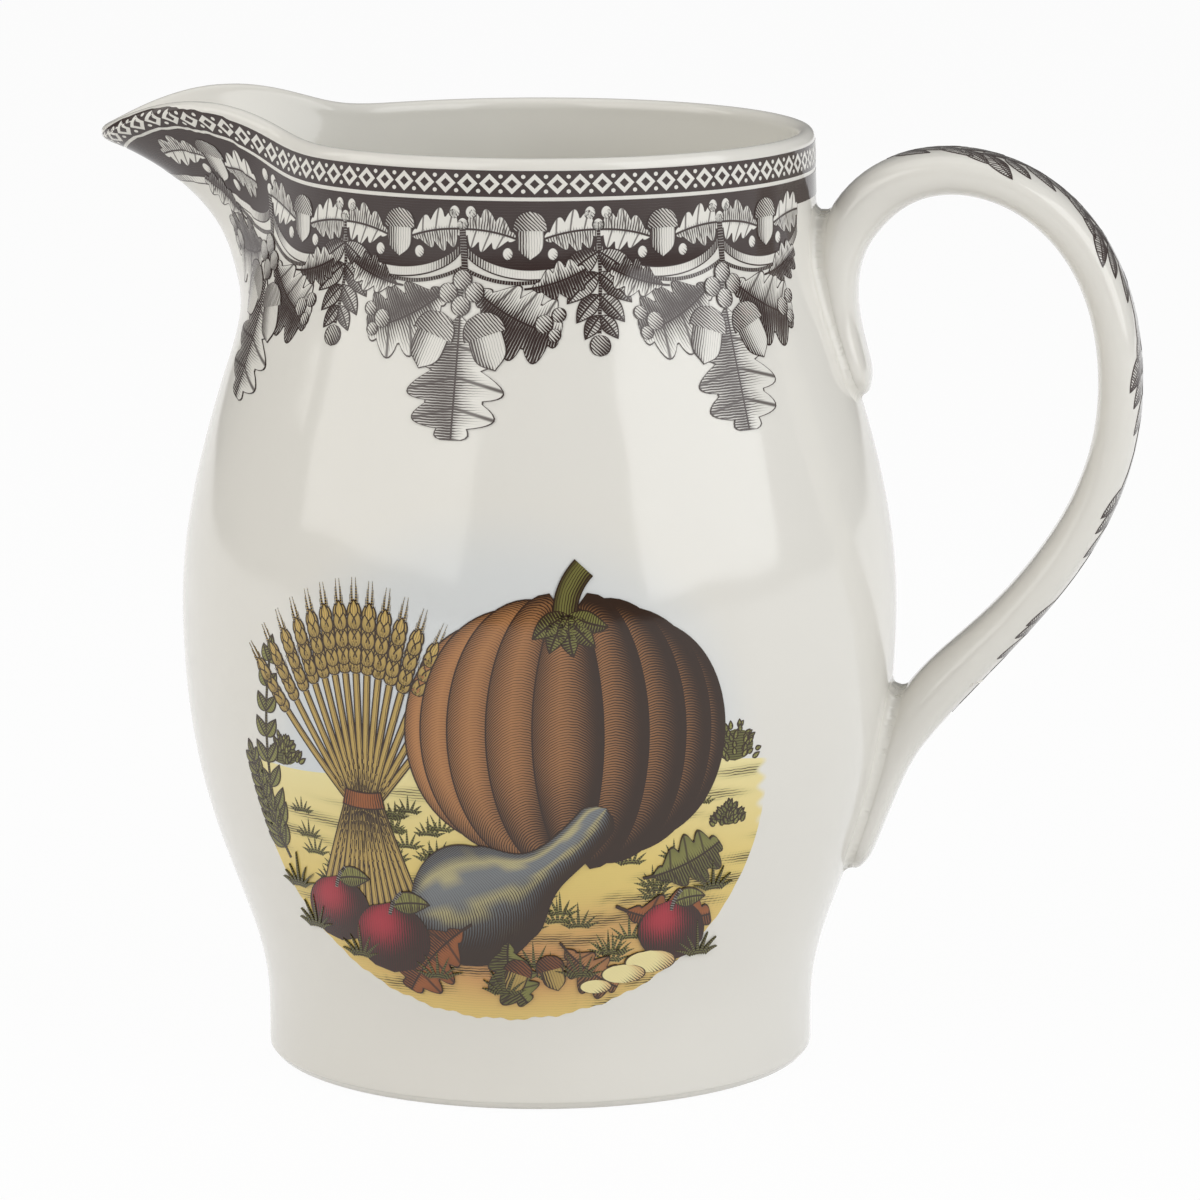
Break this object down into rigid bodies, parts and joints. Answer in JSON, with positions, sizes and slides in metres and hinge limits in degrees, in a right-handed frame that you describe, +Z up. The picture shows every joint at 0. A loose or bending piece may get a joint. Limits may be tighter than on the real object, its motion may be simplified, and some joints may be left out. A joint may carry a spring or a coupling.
{
  "type": "ceramic pitcher",
  "caption": "Glazed earthenware pitcher with a barrel body, pulled pouring spout, loop strap handle and printed borders, for holding and pouring drinks.",
  "frame": {"origin": "on the table, under the middle of the whole pitcher from the tip of the spout to the outside of the handle", "axes": "+X towards the handle and -X towards the spout, +Y towards the back with the pictured side at -Y, +Z up"},
  "size_m": [0.2226, 0.154, 0.2063],
  "materials": {
    "ivory_glaze": "glossy clear glaze over ivory earthenware",
    "luting_slip": "slip joint under the same glaze",
    "brown_print": "sepia printed transfer under glaze",
    "harvest_print": "printed colour transfer under glaze"
  },
  "bodies": {
    "root": {"jug_body": "ivory_glaze", "handle": "ivory_glaze", "upper_luting_slip": "luting_slip", "lower_luting_slip": "luting_slip", "border_transfer_front": "brown_print", "border_transfer_back": "brown_print", "medallion_transfer_front": "harvest_print", "medallion_transfer_back": "harvest_print", "handle_transfer": "brown_print"}
  },
  "joints": []
}
